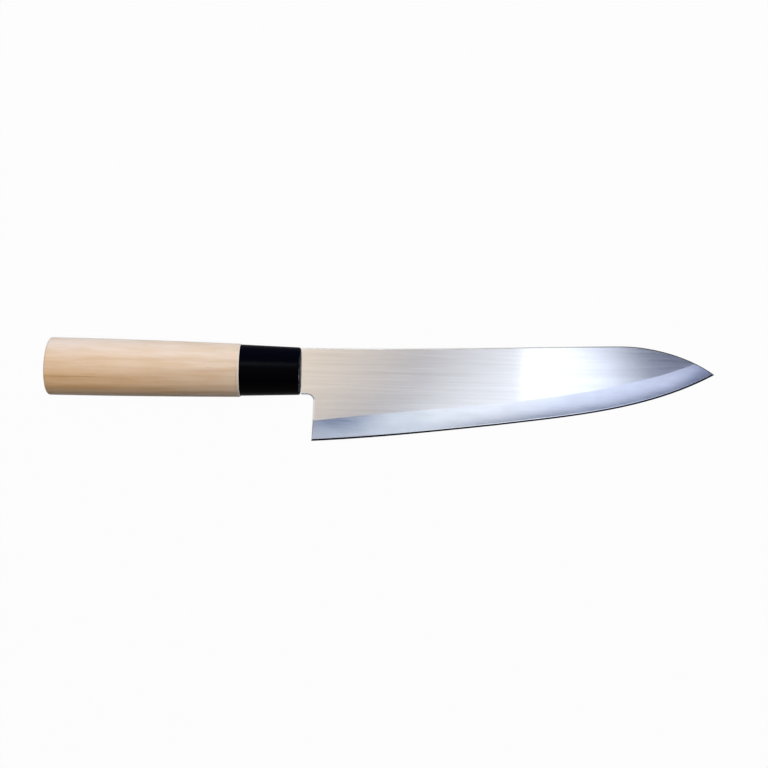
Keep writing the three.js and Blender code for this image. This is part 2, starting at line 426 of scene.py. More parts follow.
def eased_profile(outer, outward, width, surface):
    """(point, normal) pairs round an eased edge, from the face out to the side wall."""
    inner = outer - outward * width
    depth = min(EASE_DEPTH, EASE_DEPTH_SHARE * surface(inner.x, inner.y))
    face_normal = normal_of(surface, inner.x, inner.y)
    pairs = []
    for i in range(EASE_ROWS + 1):
        angle = math.pi / 2 * i / EASE_ROWS
        at = outer - outward * width * (1 - math.sin(angle))
        z = surface(at.x, at.y) - depth * (1 - math.cos(angle))
        lean = outward.to_3d() * depth * math.sin(angle) + face_normal * width * math.cos(angle)
        pairs.append((Vector((at.x, at.y, z)), lean.normalized() or face_normal))
    return pairs


def add_side(patches, profiles, outwards, ease_zone):
    """The eased edges of a run of profiles and the wall between the two faces."""
    patches.grid(profiles, ease_zone)
    for i in range(len(profiles) - 1):
        start, end = profiles[i][-1][0], profiles[i + 1][-1][0]
        patches.wall(start, end, outwards[i].to_3d(), outwards[i + 1].to_3d(), SIDE)


def heel_outline():
    """(point, outward) pairs up the heel's back, round the choil and along the neck."""
    choil_y = NECK_BOTTOM - CHOIL_RADIUS
    lean = (CHOIL_X - HEEL[0]) / (choil_y - HEEL[1])
    outward = Vector((-1, lean)).normalized()
    high = bevel_y(HEEL[0] + lean * (BEVEL_LINE[0][1] - HEEL[1]) + HEEL_EASE)
    heights = [HEEL[1], edge_bevel_top(HEEL[0])] + bevel_heights(land_top(HEEL[0]), high)
    heights += [high + (choil_y - high) * i / BEVEL_ROWS for i in range(1, BEVEL_ROWS)]
    pairs = [(Vector((HEEL[0] + lean * (y - HEEL[1]), y)), outward) for y in heights]
    centre = Vector((CHOIL_X - CHOIL_RADIUS, choil_y))
    for i in range(CHOIL_STEPS + 1):
        angle = math.pi / 2 * i / CHOIL_STEPS
        ray = Vector((math.cos(angle), math.sin(angle)))
        pairs.append((centre + ray * CHOIL_RADIUS, -ray))
    pairs.append((Vector((0, NECK_BOTTOM)), Vector((0, -1))))
    return pairs


def heel_width(outer, outward):
    """Width of the heel's eased edge, which runs out with the blade's thickness."""
    inner = outer - outward * HEEL_EASE
    return HEEL_EASE * min(1, face_z(inner.x, outer.y) / flat_z(inner.x, bevel_y(inner.x)))


def add_heel(patches):
    """The eased back of the heel, the choil and the neck; returns their profiles."""
    outline = heel_outline()
    profiles = [eased_profile(outer, outward, heel_width(outer, outward), face_z)
                for outer, outward in outline]
    add_side(patches, profiles, [outward for _, outward in outline], FLAT)
    return profiles


def eased_top(column):
    """A column of the wide bevel whose top corner leans halfway to the flat."""
    point, normal = column[-1]
    halfway = normal + normal_of(flat_z, point.x, point.y)
    return column[:-1] + [(point, halfway.normalized())]


def add_bevels(patches, heel, columns, meeting):
    """The wide bevel, the land and the edge bevel, from the heel's eased edge to the tip."""
    corners = [profile[0][0] for profile in heel[:BEVEL_TOP + 1]]
    wide = [eased_top([(p, normal_of(bevel_z, p.x, p.y)) for p in corners[2:]])]
    land = [[(p, normal_of(land_z, p.x, p.y)) for p in corners[1:3]]]
    narrow = [[(p, normal_of(edge_bevel_z, p.x, p.y)) for p in corners[:2]]]
    for x in columns:
        high = bevel_y(x) if x <= meeting else spine_inset(x)
        column = [on(bevel_z, x, y) for y in bevel_heights(land_top(x), high)]
        wide.append(eased_top(column) if x <= meeting else column)
        land.append([on(land_z, x, y) for y in (edge_bevel_top(x), land_top(x))])
        narrow.append([on(edge_bevel_z, x, y) for y in (edge_y(x), edge_bevel_top(x))])
    patches.grid(wide, BEVEL)
    patches.grid(land, BEVEL)
    patches.grid(narrow, EDGE)


def add_spine(patches, columns, meeting):
    """The spine's eased edges and narrow wall; returns their profiles."""
    profiles = []
    outwards = []
    for x in [0] + columns:
        surface = flat_z if x <= meeting else bevel_z
        outer = Vector((x, spine_y(x)))
        profiles.append(eased_profile(outer, Vector((0, 1)), spine_ease(x), surface))
        outwards.append(Vector((-spine_slope(x), 1)).normalized())
    add_side(patches, profiles, outwards, SIDE)
    return profiles


def tang_half(x):
    share = -x / TANG_LENGTH
    return (TANG_ROOT_HEIGHT + (TANG_END_HEIGHT - TANG_ROOT_HEIGHT) * share) / 2


def add_flats(patches, heel, spine, columns):
    """The flat faces: quads along the blade, and one face over the neck and the heel."""
    patches.grid([[on(flat_z, x, bevel_y(x)), on(flat_z, x, spine_inset(x))] for x in columns], FLAT)
    root = tang_half(0)
    first = columns[0]
    outline = [profile[0][0] for profile in heel[:BEVEL_TOP - 1:-1]]
    outline += [on(flat_z, first, y)[0] for y in (bevel_y(first), spine_inset(first))]
    outline += [spine[0][0][0]]
    outline += [on(flat_z, 0, y)[0] for y in (root, -root)]
    flat_normal = normal_of(flat_z, first, 0)
    patches.both_sides([(point, flat_normal) for point in outline], FLAT)


def add_tang(patches):
    """The tapered tang, as thick as the blade's root."""
    root, end = tang_half(0), tang_half(-TANG_LENGTH)
    places = ((0, -root), (-TANG_LENGTH, -end), (-TANG_LENGTH, end), (0, root))
    outline = [Vector((x, y, flat_z(x, y))) for x, y in places]
    flat_normal = normal_of(flat_z, -TANG_LENGTH, 0)
    patches.both_sides([(point, flat_normal) for point in reversed(outline)], FLAT)
    for start, end in zip(outline, outline[1:]):
        run = end - start
        out = Vector((-run.y, run.x, 0)).normalized()
        patches.wall(start, end, out, out, FLAT)


def add_shoulders(patches, heel, spine):
    """The faces above and below the tang that stand square to the handle."""
    root = tang_half(0)
    for profile, y in ((spine[0], root), (heel[-1], -root)):
        rim = [Vector((0, y, flat_z(0, y)))] + [point for point, _ in profile]
        ring = rim + [mirrored(point) for point in reversed(rim)]
        if y < 0:
            ring.reverse()
        patches.face([(point, Vector((-1, 0, 0))) for point in ring], FLAT)


def make_blade():
    """One steel piece: flats, wide bevels and edge bevels with eased sides, and the tang."""
    patches = Patchwork()
    meeting = meeting_place()
    columns = blade_columns(meeting)
    heel = add_heel(patches)
    spine = add_spine(patches, columns, meeting)
    add_bevels(patches, heel, columns, meeting)
    add_flats(patches, heel, spine, [x for x in columns if x <= meeting])
    add_tang(patches)
    add_shoulders(patches, heel, spine)
    steels = [flat_steel(), bevel_steel(), edge_steel_painted_dark(), side_steel_painted_dark_tip()]
    piece = patches.build("ground_blade", steels)
    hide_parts("blade")


# Handle and collar

def oval_ring(x, half):
    """Points round the handle's oval section, from the spine side over the right face."""
    angles = [2 * math.pi * i / ROUND_STEPS for i in range(ROUND_STEPS)]
    return [Vector((x, half * math.cos(a), half * OVAL * math.sin(a))) for a in angles]


def hole_ring(x):
    """Points round the tang's hole, one for each point of an oval section, corners included."""
    high = tang_half(x) + HOLE_MARGIN
    thick = HOLE_THICKNESS / 2
    points = []
    for _, y, z in oval_ring(x, 1):
        reach = min(high / max(abs(y), TINY), thick / max(abs(z), TINY))
        points.append(Vector((x, y * reach, z * reach)))
    for y, z in ((high, thick), (-high, thick), (-high, -thick), (high, -thick)):
        corner = Vector((x, y, z))
        nearest = min(range(ROUND_STEPS), key=lambda i: (points[i] - corner).length)
        points[nearest] = corner
    return points


def lathe_normals(profile):
    """Normals of oval rings along a run of (x, half height) points, carried on past its ends."""
    places = [Vector(place) for place in profile]
    ends = [3 * places[0] - 3 * places[1] + places[2], 3 * places[-1] - 3 * places[-2] + places[-3]]
    padded = [ends[0]] + places + [ends[1]]
    rows = []
    for before, after in zip(padded, padded[2:]):
        run = after - before
        row = []
        for i in range(ROUND_STEPS):
            angle = 2 * math.pi * i / ROUND_STEPS
            round_way = Vector((0, -math.sin(angle), OVAL * math.cos(angle)))
            long_way = Vector((run.x, run.y * math.cos(angle), run.y * OVAL * math.sin(angle)))
            row.append(round_way.cross(long_way).normalized())
        rows.append(row)
    return rows


def add_run(patches, profile, shape):
    """A smooth run of an oval form, from (x, half height) points, each point shaped at the end."""
    rings = [[shape(point) for point in oval_ring(x, half)] for x, half in profile]
    patches.tube(rings, lathe_normals(profile))
    return rings


def eased_rim(x, y, radius, start, end):
    """Points of a quarter circle about (x, y) between two angles in degrees."""
    angles = [math.radians(start + (end - start) * i / EASE_ROWS) for i in range(EASE_ROWS + 1)]
    return [(x + radius * math.cos(a), y + radius * math.sin(a)) for a in angles]


def grip_curve():
    """(x, half height) points of the handle's side between its eased rims."""
    start = Vector((HANDLE_END + BUTT_EASE, BUTT_HEIGHT / 2))
    lean = Vector((HANDLE_BELLY[0], HANDLE_BELLY[1] / 2))
    end = Vector((JOINT_X - GAP - SHOULDER_EASE, HANDLE_FRONT_HEIGHT / 2))
    shares = [i / GRIP_STEPS for i in range(1, GRIP_STEPS)]
    return [tuple(start * (1 - t) ** 2 + lean * 2 * t * (1 - t) + end * t * t) for t in shares]


def leaned(point):
    """Leans the butt, which is cut a little longer on the edge side."""
    fade = max(0, 1 - (point.x - HANDLE_END) / BUTT_LEAN_LENGTH)
    return point + Vector((BUTT_LEAN * point.y * fade, 0, 0))


def make_handle():
    """Wooden handle: an oval grip with a flat butt, a tenon and the tang's hole."""
    patches = Patchwork()
    shoulder = JOINT_X - GAP
    tenon_front = -GAP - COLLAR_FRONT_WALL - GAP
    butt_half = BUTT_HEIGHT / 2
    front_half = HANDLE_FRONT_HEIGHT / 2
    butt_rim = eased_rim(HANDLE_END + BUTT_EASE, butt_half - BUTT_EASE, BUTT_EASE, 180, 90)
    front_rim = eased_rim(shoulder - SHOULDER_EASE, front_half - SHOULDER_EASE, SHOULDER_EASE, 90, 0)
    rings = add_run(patches, butt_rim + grip_curve() + front_rim, leaned)
    butt = [[leaned(point) for point in oval_ring(HANDLE_END, butt_rim[0][1] * share)]
            for share in BUTT_RINGS]
    patches.tube(butt + [rings[0]])
    tenon = TENON_HEIGHT / 2
    inside = [oval_ring(shoulder, tenon), oval_ring(tenon_front, tenon)]
    hole = [hole_ring(tenon_front), hole_ring(HOLE_END), [Vector((HOLE_END, 0, 0))] * ROUND_STEPS]
    patches.tube([rings[-1]] + inside + hole)
    piece = patches.build("wooden_handle", [pale_wood_painted_light_and_shade()])
    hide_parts("handle")


def raised(point):
    """Sets the collar a little to the spine side, more so towards its front, and slightly flatter."""
    return Vector((point.x, point.y + COLLAR_RISE + COLLAR_SLANT * point.x, point.z * COLLAR_FLATNESS))


def make_collar():
    """Black collar: a tapered sleeve, close against the handle, with a rounded front rim."""
    patches = Patchwork()
    front = -GAP
    rear = JOINT_X - GAP + COLLAR_SEAM
    front_half = COLLAR_FRONT_HEIGHT / 2
    rear_half = COLLAR_REAR_HEIGHT / 2
    rear_rim = eased_rim(rear + COLLAR_REAR_EASE, rear_half - COLLAR_REAR_EASE,
                         COLLAR_REAR_EASE, 180, 90)
    front_rim = eased_rim(front - COLLAR_EASE, front_half - COLLAR_EASE, COLLAR_EASE, 90, 0)
    start, end = Vector(rear_rim[-1]), Vector(front_rim[0])
    side = [tuple(start.lerp(end, i / GRIP_STEPS)) for i in range(1, GRIP_STEPS)]
    rings = add_run(patches, rear_rim + side + front_rim, raised)
    socket_half = TENON_HEIGHT / 2 + GAP
    socket_end = front - COLLAR_FRONT_WALL
    slot = [hole_ring(front), hole_ring(socket_end)]
    socket = [oval_ring(socket_end, socket_half), oval_ring(rear, socket_half)]
    patches.tube([rings[-1]] + slot + socket + [rings[0]])
    piece = patches.build("moulded_collar", [black_plastic_painted_reflections()])
    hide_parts("collar")


# Materials

MIX_FIRST, MIX_SECOND, MIX_RESULT = 6, 7, 2
WHITE = (1, 1, 1)
NOISE_RANGE = (0.3, 0.7)
STREAK_FINENESS = 4
STREAK_SHADE = 0.95
FINE_RELIEF = 0.00001
PORE_RELIEF = 0.00004
# How noise breaks up the collar's painted rim highlight
HIGHLIGHT_BREAK_RANGE = (0.34, 0.6)
BUTT_FACING = (-0.8, -0.95)


def start_material(name):
    """A new material with its node tree and its shader."""
    material = bpy.data.materials.new(name)
    material.use_nodes = True
    return material, material.node_tree, material.node_tree.nodes["Principled BSDF"]


def set_inputs(tree, node, inputs):
    """Sets a node's inputs: one given as a socket is linked, any other is a value."""
    for name, value in inputs.items():
        if isinstance(value, bpy.types.NodeSocket):
            tree.links.new(value, node.inputs[name])
        else:
            node.inputs[name].default_value = value


def add_node(tree, kind, inputs=None, **settings):
    """A new node with its settings and inputs."""
    node = tree.nodes.new(kind)
    for name, value in settings.items():
        setattr(node, name, value)
    set_inputs(tree, node, inputs or {})
    return node


def knife_place(tree, scale=(1, 1, 1)):
    """A place in the knife's own frame, stretched by a scale along each axis."""
    place = add_node(tree, "ShaderNodeTexCoord").outputs["Object"]
    inputs = {"Vector": place, "Location": KNIFE.translation, "Rotation": KNIFE.to_euler()}
    turned = add_node(tree, "ShaderNodeMapping", inputs, vector_type="TEXTURE")
    stretched = add_node(tree, "ShaderNodeMapping", {"Vector": turned.outputs[0], "Scale": scale})
    return stretched.outputs[0]


def along_and_height(tree):
    """How far along the knife a place is, and how high towards its spine."""
    place = add_node(tree, "ShaderNodeSeparateXYZ", {0: knife_place(tree)})
    return place.outputs[0], place.outputs[1]


def noise(tree, scale, detail=3, roughness=0.5):
    """Noise in the knife's frame, with its own scale along each axis."""
    inputs = {"Vector": knife_place(tree, scale), "Scale": 1, "Detail": detail, "Roughness": roughness}
    return add_node(tree, "ShaderNodeTexNoise", inputs).outputs[0]


def ramp(tree, value, stops):
    """Maps a value to a colour through (place, colour) stops."""
    node = add_node(tree, "ShaderNodeValToRGB", {"Fac": value})
    elements = node.color_ramp.elements
    while len(elements) < len(stops):
        elements.new(1)
    for element, (place, colour) in zip(elements, stops):
        element.position = place
        element.color = (*colour, 1)
    return node.outputs[0]


def fitted(tree, value, start, end, low=0, high=1):
    """Maps a value between start and end to the range between low and high."""
    inputs = {"Value": value, "From Min": start, "From Max": end, "To Min": low, "To Max": high}
    return add_node(tree, "ShaderNodeMapRange", inputs).outputs[0]


def spread(tree, value, low, high):
    """Maps a noise value from its usual range to the range between low and high."""
    return fitted(tree, value, *NOISE_RANGE, low, high)


def tinted(tree, value, dark, light):
    """Maps a noise value from its usual range to a colour between dark and light."""
    return ramp(tree, value, ((NOISE_RANGE[0], dark), (NOISE_RANGE[1], light)))


def product(tree, first, second):
    return add_node(tree, "ShaderNodeMath", {0: first, 1: second}, operation="MULTIPLY").outputs[0]


def dot(tree, first, second):
    inputs = {0: first, 1: second}
    return add_node(tree, "ShaderNodeVectorMath", inputs, operation="DOT_PRODUCT").outputs[1]


def bump(tree, height, strength, distance):
    inputs = {"Height": height, "Strength": strength, "Distance": distance}
    return add_node(tree, "ShaderNodeBump", inputs).outputs[0]


def mixed(tree, factor, first, second, blend="MIX"):
    """A colour between two others, or one laid over the other by a blend mode."""
    node = add_node(tree, "ShaderNodeMix", {0: factor}, data_type="RGBA", blend_type=blend)
    for place, colour in ((MIX_FIRST, first), (MIX_SECOND, second)):
        linked = isinstance(colour, bpy.types.NodeSocket)
        set_inputs(tree, node, {place: colour if linked else (*colour, 1)})
    return node.outputs[MIX_RESULT]


def brushed_steel(name, tones, roughness, anisotropy, grain, haze, painted_tip_shade=1):
    """Steel brushed along the blade in tone, gloss and relief, hazy, with a painted shade at the tip.
    """
    material, tree, shader = start_material(name)
    broad = noise(tree, grain, detail=4, roughness=0.6)
    fine = noise(tree, [STREAK_FINENESS * scale for scale in grain], roughness=0.6)
    clouds = noise(tree, (80, 160, 160), detail=2)
    along, _ = along_and_height(tree)
    tangent = add_node(tree, "ShaderNodeTangent", direction_type="UV_MAP", uv_map="crosswise")
    tone = tinted(tree, broad, *tones)
    for pattern, darkest in ((fine, STREAK_SHADE), (clouds, haze)):
        tone = mixed(tree, 1, tone, tinted(tree, pattern, [darkest] * 3, WHITE), "MULTIPLY")
    # Painted shade: darkens the tone towards the tip, where the spine mirrors darker surroundings
    tone = mixed(tree, fitted(tree, along, *PAINTED_TIP_SHADE), tone, [painted_tip_shade] * 3, "MULTIPLY")
    set_inputs(tree, shader, {
        "Base Color": tone,
        "Roughness": spread(tree, fine, *roughness),
        "Normal": bump(tree, fine, strength=0.15, distance=FINE_RELIEF),
        "Tangent": tangent.outputs[0],
        "Metallic": 1,
        "Anisotropic": anisotropy,
    })
    return material


def flat_steel():
    """The flats: satin, brushed straight along the blade."""
    tones = ((0.755, 0.755, 0.755), (0.83, 0.83, 0.83))
    return brushed_steel("flat_steel", tones, roughness=(0.08, 0.14), anisotropy=0.85,
                         grain=(9, 450, 450), haze=0.98)


def bevel_steel():
    """The wide bevel: shorter and broader streaks than on the flats, and a less one-way gloss."""
    tones = ((0.78, 0.79, 0.81), (0.83, 0.84, 0.86))
    return brushed_steel("bevel_steel", tones, roughness=(0.11, 0.15), anisotropy=0.5,
                         grain=(25, 300, 300), haze=0.92)


def edge_steel_painted_dark():
    """The edge bevel: polished, and much darker than the rest of the blade, a painted dark reflection.
    """
    # Painted reflection: these dark tones stand in for the dark surroundings that the edge bevel
    # mirrors
    tones = ((0.04, 0.045, 0.06), (0.08, 0.085, 0.11))
    return brushed_steel("edge_steel_painted_dark", tones, roughness=(0.08, 0.12), anisotropy=0.3,
                         grain=(60, 900, 900), haze=0.95)


def side_steel_painted_dark_tip():
    """The spine, the heel's back and the choil: dull, with painted shade darkening them towards the
    tip.
    """
    tones = ((0.66, 0.65, 0.63), (0.8, 0.79, 0.77))
    return brushed_steel("side_steel_painted_dark_tip", tones, roughness=(0.36, 0.46), anisotropy=0.4,
                         grain=(40, 900, 900), haze=0.9, painted_tip_shade=0.1)


def stripe(tree, value, centre, reach):
    """1 where a value is at the centre, falling to 0 at a reach on either side."""
    before = fitted(tree, value, centre - reach, centre)
    after = fitted(tree, value, centre + reach, centre)
    return product(tree, before, after)


def black_plastic_painted_reflections():
    """Black plastic with faint polishing lines, a painted bluish reflection to the spine side, a
    painted grey highlight on its front rim.
    """
    black, lighter = (0.0003, 0.0003, 0.0006), (0.0009, 0.0009, 0.0014)
    # Colours of the painted bluish reflection and of the painted grey rim highlight
    blue, grey = (0.0003, 0.0006, 0.004), (0.2, 0.21, 0.24)
    material, tree, shader = start_material("black_plastic_painted_reflections")
    lines = noise(tree, (12, 600, 600), detail=4, roughness=0.6)
    highlight_breaks = noise(tree, (500, 160, 160), roughness=0.6)
    along, height = along_and_height(tree)
    # Painted highlight: a grey stripe round the front rim's rounding, fading down the collar, broken
    # up by noise
    rim = stripe(tree, along, -GAP - RIM_HIGHLIGHT_INSET, RIM_HIGHLIGHT_REACH)
    rim = product(tree, rim, fitted(tree, height, *RIM_HIGHLIGHT_FADE))
    rim_highlight = product(tree, rim, fitted(tree, highlight_breaks, *HIGHLIGHT_BREAK_RANGE))
    tone = tinted(tree, lines, black, lighter)
    # Painted reflection: a bluish tone to the spine side, where the collar mirrors a blue sky
    tone = mixed(tree, fitted(tree, height, *COLLAR_PAINTED_REFLECTION_FADE), tone, blue)
    set_inputs(tree, shader, {
        "Base Color": mixed(tree, rim_highlight, tone, grey),
        "Roughness": spread(tree, lines, 0.22, 0.32),
        "Normal": bump(tree, lines, strength=0.08, distance=FINE_RELIEF),
        "Specular IOR Level": 0.014,
    })
    return material


def growth_rings(tree):
    """Growth rings round a pith that lies below the handle, a little aslant to it."""
    inputs = {"Vector": knife_place(tree), "Location": (0, 0.012, 0.03), "Rotation": (0, 0.012, 0.02)}
    place = add_node(tree, "ShaderNodeMapping", inputs).outputs[0]
    inputs = {"Vector": place, "Scale": 120, "Distortion": 1.6, "Detail": 2, "Detail Scale": 0.12}
    node = add_node(tree, "ShaderNodeTexWave", inputs, wave_type="RINGS", rings_direction="X")
    return node.outputs[0]


def wood_tone_and_painted_shading(tree, along, height):
    """The wood's tone without its grain: paler in front; a painted sheen to the spine side, tan and
    painted shade to the edge.
    """
    # Painted sheen: the pale tone to the spine side stands in for light caught there
    painted_sheen, warm, front = (0.82, 0.73, 0.7), (0.83, 0.635, 0.475), (0.79, 0.67, 0.575)
    tan_and_shade, dark = (0.8, 0.5, 0.245), (0.3, 0.26, 0.22)
    cloud = noise(tree, (9, 90, 90))
    # Tan to the edge side, varied by cloud: partly the wood's tone, partly painted shade
    low = product(tree, fitted(tree, height, *WOOD_TAN_AND_SHADE_FADE), spread(tree, cloud, 0.6, 1.2))
    rear = fitted(tree, along, JOINT_X, HANDLE_END, 0.4, 1)
    upper = mixed(tree, fitted(tree, height, *WOOD_PAINTED_SHEEN_FADE), painted_sheen, warm)
    upper = mixed(tree, fitted(tree, along, WOOD_FRONT_START, JOINT_X, 0, 0.7), upper, front)
    tone = mixed(tree, product(tree, low, rear), upper, tan_and_shade)
    # Painted shade: darker towards the bottom on the edge side
    return mixed(tree, fitted(tree, height, *WOOD_PAINTED_SHADE_FADE, 0, 0.55), tone, dark)


def wood_grain(tree, tone, height, fibres, pores):
    """Lays rings, bands, fibres, dark lines and pores over a tone; the butt's rings are stronger."""
    facing = add_node(tree, "ShaderNodeTexCoord").outputs["Normal"]
    butt = fitted(tree, dot(tree, facing, KNIFE.to_3x3().col[0]), *BUTT_FACING)
    rings = growth_rings(tree)
    bands = noise(tree, (50, 420, 420), detail=2)
    lines = noise(tree, (9, 420, 420), detail=4, roughness=0.6)
    low = fitted(tree, height, *WOOD_LINES_FADE, 0.25, 1)
    layers = (
        (1, rings, (0.1, 0.8), (0.95, 0.93, 0.90)),
        (butt, rings, (0.1, 0.6), (0.78, 0.68, 0.56)),
        (1, bands, (0.38, 0.58), (0.96, 0.92, 0.85)),
        (0.8, fibres, (0.32, 0.6), (0.9, 0.86, 0.8)),
        (low, lines, (0.3, 0.42), (0.82, 0.72, 0.60)),
        (0.7, pores, (0.28, 0.36), (0.86, 0.8, 0.72)),
    )
    for strength, pattern, (dark, clear), shade in layers:
        stain = ramp(tree, pattern, ((dark, shade), (clear, WHITE)))
        tone = mixed(tree, strength, tone, stain, "MULTIPLY")
    return tone


def pale_wood_painted_light_and_shade():
    """Pale straight-grained wood, bare, with a scribed line behind its front rim, which has a painted
    highlight.
    """
    # Colours of the scribed line and of the painted rim highlight
    line_colour, rim_highlight_colour = (0.55, 0.46, 0.38), (0.92, 0.85, 0.78)
    material, tree, shader = start_material("pale_wood_painted_light_and_shade")
    fibres = noise(tree, (6, 520, 520), detail=6, roughness=0.65)
    pores = noise(tree, (160, 2600, 2600), detail=2)
    along, height = along_and_height(tree)
    tone = wood_grain(tree, wood_tone_and_painted_shading(tree, along, height), height, fibres, pores)
    shoulder = JOINT_X - GAP
    scribe = stripe(tree, along, shoulder - SCRIBE_INSET, SCRIBE_REACH)
    scribe = product(tree, scribe, fitted(tree, height, *SCRIBE_FADE))
    tone = mixed(tree, scribe, tone, line_colour)
    # Painted highlight: the wood's front rim is lightened where its eased edge would catch light
    rim = fitted(tree, along, *[shoulder - inset for inset in PAINTED_RIM_HIGHLIGHT])
    set_inputs(tree, shader, {
        "Base Color": mixed(tree, rim, tone, rim_highlight_colour),
        "Roughness": spread(tree, fibres, 0.52, 0.64),
        "Normal": bump(tree, pores, strength=0.25, distance=PORE_RELIEF),
        "Specular IOR Level": 0.3,
        "Sheen Weight": 0.5,
        "Sheen Roughness": 0.4,
    })
    return material


def dark_resin():
    """Dark cast resin, a little cloudy."""
    material, tree, shader = start_material("dark_resin")
    cloud = noise(tree, (200, 200, 200))
    tone = tinted(tree, cloud, (0.02, 0.016, 0.012), (0.035, 0.028, 0.02))
    set_inputs(tree, shader, {"Base Color": tone, "Roughness": spread(tree, cloud, 0.35, 0.5)})
    return material


# Studio

FLOOR_SIZE = 8
FLOOR_DEPTH = 0.00005
FLOOR_GLOW = 0.975
FLOOR_PAINT = 0.25
ROOM_FILL = (0.03, 1.2)
FILL_RANGE = (0.2, 1)
ROOM_LIGHT = (-0.85, 0.5, 0)
ROOM_GRADES = (
    (0.35, (0.26, 0.28, 0.33)),
    (0.53, (0.29, 0.31, 0.37)),
    (0.68, (0.36, 0.38, 0.46)),
    (0.8, (0.9, 0.88, 0.85)),
)
SCREEN = (0.12, -0.62, 0.775)
SCREEN_EDGE = (0.86, 0.93)
SCREEN_COLOUR = (0.045, 0.075, 0.16)
HORIZON = (0.66, 0.38)

# Cards above the knife: height, where they start, meet and end in x and y, and lean of the grades
CARD_HEIGHT = 1.0
CARD_SEAM = -0.34
SEAM_LEAN = 0.08
SILL = -0.47
HEEL_SEAM = ((-0.15, -0.396), (0.04, -0.396))
HEEL_SILL = ((-0.15, -0.508), (0.06, -0.508))
HEEL_CARDS_END = 0.15
CEILING_REAR = -0.9
CEILING_BACK = 0.3
CEILING_LEAN = -0.6
SKYLIGHT_START = 0.314
SKYLIGHT_END = 0.85
SKYLIGHT_BACK = -0.12
SKYLIGHT_LEAN = 0.64
WINDOW_END = 0.8
WINDOW_FRONT = ((0.49, -0.443), (0.6, -0.401), (WINDOW_END, -0.376))
SILL_END = 0.36
SILL_FOOT = ((-0.15, -0.7), (0.1, -0.68), (0.2, -0.55))


def seen_directly(tree):
    """1 for rays that show the background itself: from the camera, a mirror or glass."""
    path = add_node(tree, "ShaderNodeLightPath")
    seen = path.outputs["Is Camera Ray"]
    for kind in ("Is Glossy Ray", "Is Transmission Ray"):
        inputs = {0: seen, 1: path.outputs[kind]}
        seen = add_node(tree, "ShaderNodeMath", inputs, operation="MAXIMUM").outputs[0]
    return seen


def add_stage(name, corners, material):
    """A flat sheet of the studio, which isn't part of the knife."""
    mesh = bpy.data.meshes.new(name)
    mesh.from_pydata(corners, [], [range(len(corners))])
    mesh.materials.append(material)
    sheet = bpy.data.objects.new(name, mesh)
    bpy.context.scene.collection.objects.link(sheet)


def bare_material(name):
    """A new material without a shader, and its node tree."""
    material = bpy.data.materials.new(name)
    material.use_nodes = True
    material.node_tree.nodes.clear()
    return material, material.node_tree


def make_floor():
    """A white table top that glows where it is seen, and keeps the knife's shadow."""
    material, tree = bare_material("white_floor")
    paint = add_node(tree, "ShaderNodeBsdfDiffuse", {"Color": (*[FLOOR_PAINT] * 3, 1)})
    glow = add_node(tree, "ShaderNodeEmission", {"Strength": 1})
    inputs = {0: seen_directly(tree), 1: FLOOR_GLOW}
    share = add_node(tree, "ShaderNodeMath", inputs, operation="MULTIPLY")
    inputs = {0: share.outputs[0], 1: paint.outputs[0], 2: glow.outputs[0]}
    top = add_node(tree, "ShaderNodeMixShader", inputs)
    add_node(tree, "ShaderNodeOutputMaterial", {"Surface": top.outputs[0]})
    half = FLOOR_SIZE / 2
    corners = [(x * half, y * half, -FLOOR_DEPTH) for x, y in ((-1, -1), (1, -1), (1, 1), (-1, 1))]
    add_stage("floor", corners, material)


def make_world():
    """A dim room, seen white near the horizon, brighter behind the handle, with a dark screen."""
    world = bpy.data.worlds.new("studio")
    bpy.context.scene.world = world
    world.use_nodes = True
    tree = world.node_tree
    direction = add_node(tree, "ShaderNodeTexCoord").outputs["Generated"]
    brightness = fitted(tree, dot(tree, direction, ROOM_LIGHT), -1, 1)
    room = ramp(tree, brightness, ROOM_GRADES)
    screen = fitted(tree, dot(tree, direction, SCREEN), *SCREEN_EDGE)
    room = mixed(tree, screen, room, SCREEN_COLOUR)
    split = add_node(tree, "ShaderNodeSeparateXYZ", {0: direction})
    room = mixed(tree, fitted(tree, split.outputs[2], *HORIZON), room, [FLOOR_GLOW] * 3)
    fill = fitted(tree, split.outputs[1], *FILL_RANGE, *ROOM_FILL)
    colour = mixed(tree, seen_directly(tree), fill, room)
    set_inputs(tree, tree.nodes["Background"], {"Color": colour})


def add_lamp(name, place, size, radiance, in_mirrors):
    """A soft rectangular lamp that faces the knife, as bright as its radiance says."""
    light = bpy.data.lights.new(name, "AREA")
    light.shape = "RECTANGLE"
    light.size, light.size_y = size
    light.energy = radiance * math.pi * size[0] * size[1]
    lamp = bpy.data.objects.new(name, light)
    bpy.context.scene.collection.objects.link(lamp)
    lamp.location = place
    lamp.rotation_euler = Vector(place).to_track_quat("Z", "Y").to_euler()
    lamp.visible_glossy = in_mirrors


def add_card(name, outline, stops, lean=0):
    """A glowing card above the knife, with an outline in x and y and graded along x.

    With a lean, the grades run aslant: they hold at the seam and move along x away from it.
    """
    material, tree = bare_material(name)
    start, end = stops[0][0], stops[-1][0]
    place = add_node(tree, "ShaderNodeTexCoord").outputs["Object"]
    along = dot(tree, place, (1, lean, 0))
    share = fitted(tree, along, start + lean * CARD_SEAM, end + lean * CARD_SEAM)
    brightest = max(max(colour) for _, colour in stops)
    grades = [((x - start) / (end - start), [c / brightest for c in colour]) for x, colour in stops]
    inputs = {"Color": ramp(tree, share, grades), "Strength": brightest}
    emission = add_node(tree, "ShaderNodeEmission", inputs)
    add_node(tree, "ShaderNodeOutputMaterial", {"Surface": emission.outputs[0]})
    add_stage(name, [(x, y, CARD_HEIGHT) for x, y in outline], material)


def seam(x):
    """A point of the straight line along which the upper cards end, at x."""
    return x, CARD_SEAM + SEAM_LEAN * x


